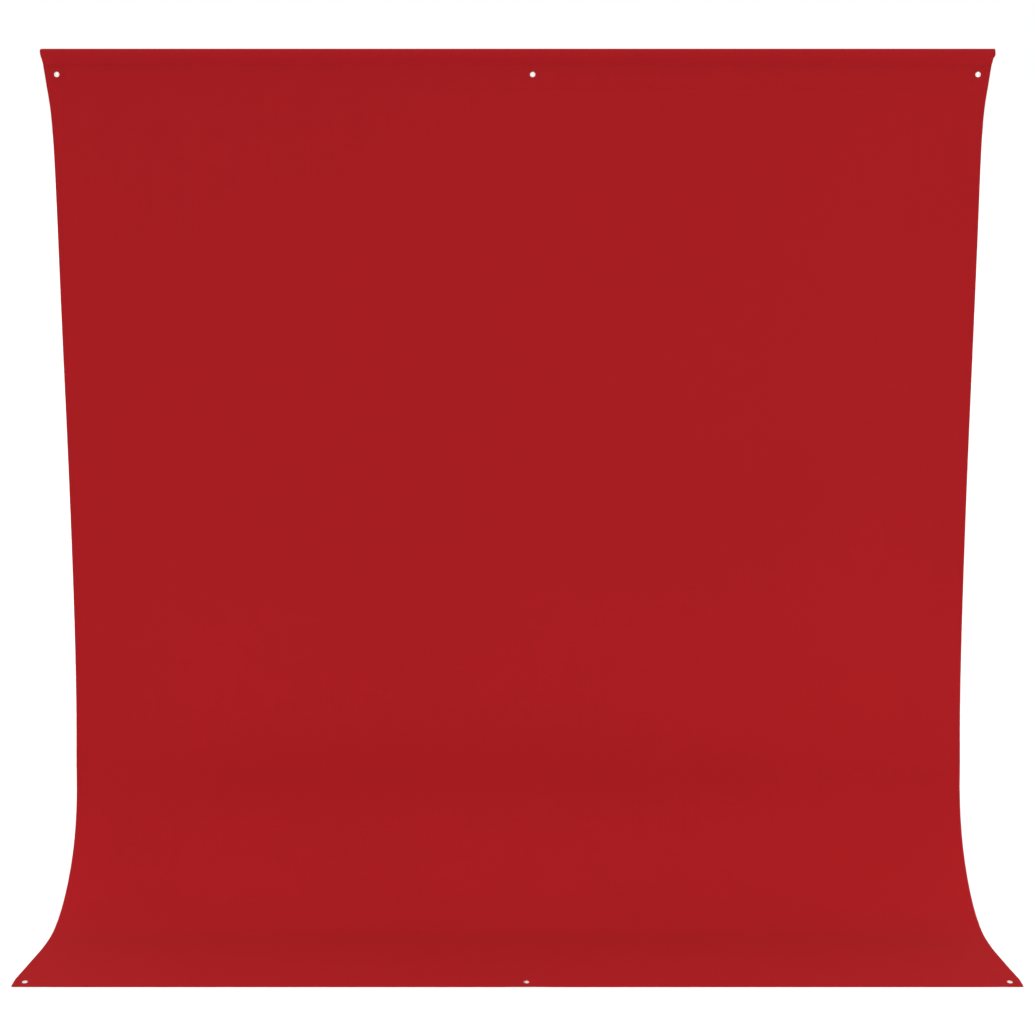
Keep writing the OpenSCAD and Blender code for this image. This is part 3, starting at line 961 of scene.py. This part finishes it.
def stitches(points, normals, rise):
    """Thread showing on one face, from needle hole to needle hole: (verts, faces, uvs)."""
    start = points[:-1]
    out = unit((normals[:-1] + normals[1:]) / 2)
    step = points[1:] - start
    side = unit(np.cross(out, step))
    ends = (0.5 - THREAD_SHOWN / 2, 0.5 + THREAD_SHOWN / 2)
    # place along the stitch, height, thickness
    stations = (
        (ends[0], -THREAD_SINK, 0.8),
        (0.32, rise, 1.0),
        (0.68, rise, 1.0),
        (ends[1], -THREAD_SINK, 0.8),
    )
    count = len(start)
    verts = np.zeros((count, 4, THREAD_SIDES, 3))
    uvs = np.zeros((count, 4, THREAD_SIDES, 2))
    for i, (place, height, fat) in enumerate(stations):
        centre = start + step * place + out * height
        radius = THREAD_R * fat
        for j in range(THREAD_SIDES):
            angle = j * 2 * math.pi / THREAD_SIDES
            sideways = side * (math.cos(angle) * radius)
            verts[:, i, j] = centre + sideways + out * (math.sin(angle) * radius)
            uvs[:, i, j, 0] = place * 3 + np.arange(count) % 7
            uvs[:, i, j, 1] = j / THREAD_SIDES
    base = (np.arange(count) * 4 * THREAD_SIDES)[:, None]
    faces = []
    for i in range(3):
        near, far = base + i * THREAD_SIDES, base + (i + 1) * THREAD_SIDES
        for j in range(THREAD_SIDES):
            after = (j + 1) % THREAD_SIDES
            faces.append(np.concatenate([near + j, near + after, far + after, far + j], 1))
    first = base + np.arange(THREAD_SIDES)[::-1]
    last = base + 3 * THREAD_SIDES + np.arange(THREAD_SIDES)
    faces = np.concatenate(faces).tolist() + first.tolist() + last.tolist()
    return verts.reshape(-1, 3), faces, uvs.reshape(-1, 2)


def join_stitches(name, runs, rise=0.00016):
    """One piece from several runs of (points, normals)."""
    verts, faces, uvs, count = [], [], [], 0
    for points, normals in runs:
        run_verts, run_faces, run_uvs = stitches(points, normals, rise)
        verts.append(run_verts)
        uvs.append(run_uvs)
        faces += [[i + count for i in face] for face in run_faces]
        count += len(run_verts)
    piece = make(name, np.concatenate(verts), faces, np.concatenate(uvs))
    return dress(piece, THREAD)


def side_runs(start, end, side):
    """Seam of one side hem, seen on the outer face and on the turned layer."""
    along = rows_between(start + 0.001, end - 0.001, PITCH)
    x = side * (edge_x(along, side) - SIDE_SEAM) + drift(along)
    y, z, norm_y, norm_z = sheet_path(along, x)
    gather = side_pucker(along, side) * math.exp(-SIDE_SEAM / 0.02) * side_calm(along)
    lift = CLOTH / 2 * 0.55
    runs = []
    for sign, offset in ((1, lift), (-1, -2 * FOLD_R - lift)):
        out = gather + offset
        points = np.stack([x, y + norm_y * out, z + norm_z * out], 1)
        runs.append((points, np.stack([0 * x, sign * norm_y, sign * norm_z], 1)))
    return runs


def header_run(z, back):
    along = TO_BAND + (BAND_Z - z)
    start, end = -edge_x(along, -1) + SEAM_MARGIN, edge_x(along, 1) - SEAM_MARGIN
    return band_face(np.arange(start, end, PITCH), z, back, lift=SEAM_LIFT)


def front_run(under):
    y = FRONT_Y + FRONT_SEAM
    end = edge_x(LENGTH - (y - FRONT_Y), 1) - SEAM_MARGIN
    return hem_face(np.arange(-end, end, PITCH), y, under, lift=SEAM_LIFT)


for side, word in ((-1, "left"), (1, "right")):
    runs = side_runs(TO_HINGE, TO_SPLIT, side)
    seam = join_stitches(f"curtain_{word}_hem_stitches_upper", runs)
    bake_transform(seam)
    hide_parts(f"curtain_{word}_hem_thread")
    seam = join_stitches(f"{word}_hem_stitches_lower", side_runs(TO_SPLIT, TO_HEM, side))
    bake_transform(seam)
    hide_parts(f"apron_{word}_hem_thread")

for word, seam_z in (("pocket", POCKET_SEAM_Z), ("header", HEADER_SEAM_Z)):
    runs = [header_run(seam_z, back) for back in (False, True)]
    seam = join_stitches(f"{word}_seam_stitches", runs)
    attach(seam, "header")
    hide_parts(f"{word}_seam_thread")

seam = join_stitches("front_hem_stitches", [front_run(under) for under in (False, True)])
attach(seam, "apron")
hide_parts("front_hem_thread")


def square_line(half, pitch):
    """Points round a square, the first one repeated at the end."""
    count = int(round(2 * half / pitch))
    rise = np.linspace(-half, half, count + 1)
    fall = rise[::-1][1:]
    across = np.concatenate([rise, np.full(count, half), fall, np.full(count, -half)])
    other = np.concatenate([np.full(count + 1, -half), rise[1:], np.full(count, half), fall])
    return across, other


def turn_to_front(points, spot):
    """Local +Z to -Y, at a place in the band."""
    return np.stack(
        [spot[0] + points[:, 0], BAR_Y - points[:, 2], spot[1] + points[:, 1]], 1
    )


def turn_to_top(points, spot):
    """Local +Z stays up, at a place in the front hem."""
    return np.stack(
        [spot[0] + points[:, 0], spot[1] + points[:, 1], HEM_MID_Z + points[:, 2]], 1
    )


# word in the names, part it rides on, places, patch half size, layer surface, turn into place
GROMMET_ROWS = (
    ("top", "header", TOP_SPOTS, PATCH_TOP, band_face, turn_to_front),
    ("front", "apron", FRONT_SPOTS, PATCH_FRONT, hem_face, turn_to_top),
)

for word, place, spots, half, face, _ in GROMMET_ROWS:
    across, other = square_line(half - 0.0033, PATCH_PITCH)
    runs = [
        face(spot[0] + across, spot[1] + other, back, lift=CLOTH / 2 - 0.00003)
        for spot in spots
        for back in (False, True)
    ]
    seam = join_stitches(f"{word}_patch_stitches", runs, rise=0.00012)
    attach(seam, place)
    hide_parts(f"patch_{word}_threads")


# ---------------------------------------------------------------- metal
BAND_HALF = 1.5 * CLOTH  # half the thickness the eyelets clamp
REAR = BAND_HALF + 0.0008  # rear face of the washer


def lathe(profile, lobed):
    """Shell turned about local Z from a closed profile of (radius, height)."""
    segments = 80
    profile = np.array(profile)
    count = len(profile)
    angle = (np.arange(segments) * 2 * math.pi / segments)[None, :]
    radius, height = profile[:, :1], profile[:, 1:]
    if lobed:  # the curled end is slightly lobed, as a pressed eyelet's is
        share = np.clip((-REAR - 0.0001 - height) / 0.0003, 0, 1) * (radius > BORE + 0.0009)
        radius = radius + 0.00009 * share * np.cos(8 * angle)
    verts = np.zeros((count, segments, 3))
    verts[..., 0] = radius * np.cos(angle)
    verts[..., 1] = radius * np.sin(angle)
    verts[..., 2] = height
    lengths = np.linalg.norm(np.diff(profile, axis=0), axis=1)
    uvs = np.zeros((count, segments, 2))
    uvs[..., 0] = np.abs(angle / math.pi - 1)
    uvs[..., 1] = np.concatenate([[0], np.cumsum(lengths)])[:, None] * 100
    index = np.arange(count * segments).reshape(count, segments)
    below = np.roll(index, -1, axis=0)
    quads = [index, np.roll(index, -1, axis=1), np.roll(below, -1, axis=1), below]
    faces = np.stack(quads, 2).reshape(-1, 4).tolist()
    return verts.reshape(-1, 3), faces, uvs.reshape(-1, 2)


def arc(centre_r, centre_h, radius, start, end, count):
    """Points of an arc in the profile; angles in degrees."""
    angles = [math.radians(angle) for angle in np.linspace(start, end, count)]
    return [
        (centre_r + radius * math.cos(angle), centre_h + radius * math.sin(angle))
        for angle in angles
    ]


def eyelet_profile():
    """Cross-section of the eyelet as (radius, height), front side up."""
    half = BAND_HALF
    # bore wall from the rear lip up to the rolled front
    points = [
        (BORE, -REAR - 0.0001), (BORE, -half), (BORE, 0.0),
        (BORE, half * 0.6), (BORE, half + 0.00008),
    ]
    # domed crown of the flange, fuller towards the bore
    crown_r, reach = (BORE + FLANGE) / 2 - 0.00002, (FLANGE - BORE) / 2 - 0.00004
    for k in range(1, 24):
        angle = math.pi * (1 - k / 24)
        sine = math.sin(angle)
        radius = crown_r + reach * math.cos(angle) - 0.00012 * sine
        points.append((radius, half + 0.00010 + 0.00108 * sine**0.9))
    # under the flange, down the outside of the barrel
    points += [
        (FLANGE - 0.00008, half + 0.00008), (FLANGE - 0.00030, half + 0.00002),
        (FLANGE - 0.0012, half + 0.00003), (BORE + 0.0016, half + 0.00004),
    ]
    points += arc(BORE + 0.0009, half - 0.0003, 0.00042, start=60, end=180, count=5)
    barrel = BORE + 0.00047
    points += [(barrel, 0.0), (barrel, -half), (barrel, -REAR + 0.00015)]
    # the curled rear end over the washer
    points += [(BORE + 0.00060, -REAR - 0.00001), (BORE + 0.0012, -REAR - 0.00001)]
    points += arc(BORE + 0.00145, -REAR - 0.00022, 0.00021, start=60, end=-90, count=6)
    points += [(BORE + 0.0011, -REAR - 0.00045), (BORE + 0.0007, -REAR - 0.00046)]
    points += arc(BORE + 0.0004, -REAR - 0.0001, 0.00036, start=260, end=190, count=5)
    return points[::-1]


def washer_profile():
    half = BAND_HALF
    points = [(BORE + 0.0007, -half - 0.0001), (BORE + 0.0007, -half - 0.0006)]
    points += arc(BORE + 0.0009, -half - 0.0006, 0.0002, start=180, end=260, count=4)[1:]
    points += [(BORE + 0.0020, -half - 0.00080), (FLANGE - 0.0012, -half - 0.00080)]
    points += arc(FLANGE - 0.0006, -half - 0.0004, 0.00040, start=-80, end=10, count=6)
    return points + [
        (FLANGE - 0.0001, -half - 0.0002), (FLANGE - 0.00016, -half - 0.00003),
        (FLANGE - 0.0006, -half - 0.00001), (BORE + 0.0012, -half - 0.00001),
    ]


def dent(verts, phase):
    """Slight unevenness from the setting tool."""
    angle = np.arctan2(verts[:, 1], verts[:, 0])
    radius = np.hypot(verts[:, 0], verts[:, 1])
    share = np.clip((radius - BORE) / (FLANGE - BORE), 0, 1)
    uneven = 0.00003 * np.sin(2 * angle + phase) + 0.000018 * np.sin(3 * angle + 2.3 * phase)
    verts[:, 2] += share * uneven


def spun(verts, angle):
    cosine, sine = math.cos(angle), math.sin(angle)
    x, y, z = verts.T
    return np.stack([x * cosine - y * sine, x * sine + y * cosine, z], 1)


for word, place, spots, _, _, turn in GROMMET_ROWS:
    # each grommet is dented and turned differently
    dent_start, spin_start = (3, 0.4) if word == "front" else (0, 0)
    for i, (side, spot) in enumerate(zip(SIDES, spots)):
        for kind, profile, material, slot in (
            ("grommet", eyelet_profile(), EYELET, "eyelet_metal"),
            ("washer", washer_profile(), WASHER, "washer_metal"),
        ):
            verts, faces, uvs = lathe(profile, lobed=kind == "grommet")
            dent(verts, i * 1.7 + dent_start)
            verts = turn(spun(verts, 0.7 * i + spin_start), spot)
            piece = make(f"{kind}_{word}_{side}_plated", verts, faces, uvs, sharp=60)
            dress(piece, material)
            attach(piece, place)
            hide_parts(f"{kind}_{word}_{side}")


# ---------------------------------------------------------------- hidden patches
def patch_piece(name, half, spot, turn):
    """Square of canvas with a punched hole and a slightly uneven outline."""
    half_thick = 0.00036
    across, other = (line[:-1] for line in square_line(half, 2 * half / 12))
    angle = np.arctan2(other, across)
    uneven = 1 + 0.006 * np.sin(11 * angle) + 0.005 * np.sin(17 * angle + 1)
    size = len(across)
    loops = [(across * uneven, other * uneven)]
    for part in (0.25, 0.5, 0.75, 1.0):
        loop_x = across * (1 - part) + np.cos(angle) * HOLE * part
        loop_y = other * (1 - part) + np.sin(angle) * HOLE * part
        loops.append((loop_x, loop_y))
    verts = np.concatenate([
        np.stack([loop_x, loop_y, np.full(size, sign * half_thick)], 1)
        for sign in (1, -1)
        for loop_x, loop_y in loops
    ])
    count = len(loops)
    here = np.arange(size)
    after = np.roll(here, -1)

    def quads(first, second):
        """Faces between two loops, given by their numbers."""
        start, end = first * size, second * size
        return np.stack([here + start, after + start, after + end, here + end], 1)

    faces = []
    for i in range(count - 1):
        faces.append(quads(i, i + 1))
        faces.append(quads(count + i, count + i + 1)[:, [0, 3, 2, 1]])
    faces.append(quads(0, count)[:, [0, 3, 2, 1]])
    faces.append(quads(count - 1, 2 * count - 1))
    faces = np.concatenate(faces).tolist()
    piece = make(name, turn(verts, spot), faces, verts[:, :2], sharp=50)
    return dress(piece, CANVAS)


for word, place, spots, _, _, turn in GROMMET_ROWS:
    for side, spot in zip(SIDES, spots):
        node = f"patch_{word}_{side}"
        piece = patch_piece(node + "_canvas", half_span(node) - 0.0005, spot, turn)
        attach(piece, place)
        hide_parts(node)


# ---------------------------------------------------------------- care label
def care_label():
    """Blank tape that hangs down and curls backwards towards its lower end."""
    low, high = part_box("care_label")
    width, height = high.x - low.x, high.z - low.z
    margin = 0.0006
    across, part = np.meshgrid(np.linspace(margin, width - margin, 19), np.linspace(0, 1, 25))
    down = part * (height - 2 * margin)
    belly = 0.0004 * np.sin(across / width * math.pi) * part
    y = low.y + 0.0001 + 0.0035 * part**2.2 + belly
    y = y + 0.0002 * np.sin(5 * part + across * 90)
    z = high.z - margin - down + 0.0008 * part**3
    mid = np.stack([low.x + across, y, z], 2)
    normal = unit(np.cross(np.gradient(mid, axis=1), np.gradient(mid, axis=0)))
    if normal[..., 1].mean() < 0:
        normal = -normal
    half = np.full(across.shape, 0.00011)
    half[:, 0] = half[:, -1] = 0.00017  # hot-cut edges are a little thicker
    uv = np.stack([across, -down], 2)
    piece = thick_sheet("care_label_blank", mid, normal, uv, half, half)
    return dress(piece, LABEL)


label = care_label()
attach(label, "header")
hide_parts("care_label")

# turn the faces of every closed piece outwards
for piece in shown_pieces():
    if piece.type == "MESH" and "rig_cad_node" not in piece:
        mesh = bmesh.new()
        mesh.from_mesh(piece.data)
        bmesh.ops.recalc_face_normals(mesh, faces=mesh.faces)
        mesh.to_mesh(piece.data)
        mesh.free()


# ---------------------------------------------------------------- stage
scene = bpy.context.scene


def stage_material():
    material, graph, shader = principled("studio_floor")
    mottle = graph.noise(graph.coord(), scale=2.0, detail=4.0)
    graph.fill(shader, {
        "Base Color": graph.mix(mottle, (0.95, 0.95, 0.95, 1), (0.97, 0.97, 0.97, 1)),
        "Roughness": 0.9,
        "Specular IOR Level": 0.1,
    })
    return material


bpy.ops.mesh.primitive_plane_add(size=400, location=(0, 0, 0))
floor = bpy.context.object
floor.name = "studio_floor"
floor.data.materials.append(stage_material())

# ---------------------------------------------------------------- world
FILL = 0.5  # even light of the white room
ZENITH = 1.545  # extra from its ceiling
CARD_SHADE = 0.8  # how much the dark cards take away
# Cards: direction, and the cosines where the shade is full and where it ends
CARDS = (((-0.62, -0.42, 0.66), 0.93, 0.62), ((0.70, -0.45, -0.55), 0.93, 0.66))


def studio_world():
    """White room; the camera sees plain white, and shiny metal sees two soft dark cards, high
    on the left and low on the right."""
    world = bpy.data.worlds.new("studio")
    scene.world = world
    world.use_nodes = True
    graph = Graph(world.node_tree)
    output = graph.new("ShaderNodeOutputWorld")
    rays = graph.new("ShaderNodeLightPath")
    way = graph.coord("Generated")
    cards = None
    for direction, inner, outer in CARDS:
        facing = graph.new("ShaderNodeVectorMath", operation="DOT_PRODUCT")
        graph.fill(facing, {0: way, 1: tuple(Vector(direction).normalized())})
        card = graph.remap(facing.outputs["Value"], span=(outer, inner), to=(0.0, 1.0))
        cards = card if cards is None else graph.math("MAXIMUM", cards, card)
    shade = graph.math("MULTIPLY", rays.outputs["Is Glossy Ray"], CARD_SHADE)
    card_light = graph.math("SUBTRACT", 1.0, graph.math("MULTIPLY", cards, shade))
    high = graph.math("MAXIMUM", graph.split(way)[2], 0.0)
    dome = graph.math("MULTIPLY_ADD", graph.math("MULTIPLY", high, high), ZENITH, FILL)
    white = (1, 1, 1, 1)
    fill = graph.new("ShaderNodeBackground", name="fill")
    graph.fill(fill, {0: white, 1: graph.math("MULTIPLY", card_light, dome)})
    seen = graph.new("ShaderNodeBackground")
    graph.fill(seen, {0: white, 1: 1.0})
    mixed = graph.new("ShaderNodeMixShader")
    graph.fill(mixed, {0: rays.outputs["Is Camera Ray"], 1: fill.outputs[0], 2: seen.outputs[0]})
    graph.put(output.inputs[0], mixed.outputs[0])


studio_world()


# ---------------------------------------------------------------- lights
def softbox(name, place, aim, size, watts, spread=180):
    light = bpy.data.lights.new(name, "AREA")
    light.shape = "RECTANGLE"
    light.size, light.size_y = size
    light.energy = watts
    light.spread = math.radians(spread)
    lamp = bpy.data.objects.new(name, light)
    scene.collection.objects.link(lamp)
    lamp.location = place
    lamp.visible_camera = False
    heading = Vector(aim) - Vector(place)
    lamp.rotation_euler = heading.to_track_quat("-Z", "Y").to_euler()


softbox("low_left", place=(-3.4, -3.2, 0.8), aim=(0.2, 0.0, 0.3), size=(1.6, 1.0), watts=19.7)
softbox("low_right", place=(3.4, -3.2, 0.8), aim=(-0.2, 0.0, 0.3), size=(1.6, 1.0), watts=31.9)
softbox("low_front", place=(0, -1.7, 0.9), aim=(0, 0.1, 0.35), size=(3.4, 0.6), watts=2.9)
softbox(
    "apron_strip",
    place=(0, -1.5, 1.4), aim=(0, -0.28, 0.0), size=(3.2, 0.4), watts=1.3, spread=50,
)
softbox(
    "foot_strip",
    place=(0, -2.4, 0.55), aim=(0, 0.12, 0.52), size=(2.6, 0.1), watts=0.5, spread=26,
)

# ---------------------------------------------------------------- camera
CAMERA_DISTANCE = 5.8  # in front of the crossbar
CAMERA_HEIGHT = 2.323
CAMERA_DIP = 11.657  # degrees below level

cam_data = bpy.data.cameras.new("camera")
camera = bpy.data.objects.new("camera", cam_data)
scene.collection.objects.link(camera)
camera.location = (0.0004, BAR_Y - CAMERA_DISTANCE, CAMERA_HEIGHT)
camera.rotation_euler = (math.radians(90 - CAMERA_DIP), 0, 0)
cam_data.sensor_width = 36
cam_data.lens = 68.416
cam_data.clip_start, cam_data.clip_end = 0.05, 200
scene.camera = camera
scene.view_settings.view_transform = "Standard"
scene.view_settings.look = "None"
scene.view_settings.exposure = 0.0
scene.view_settings.gamma = 1.0
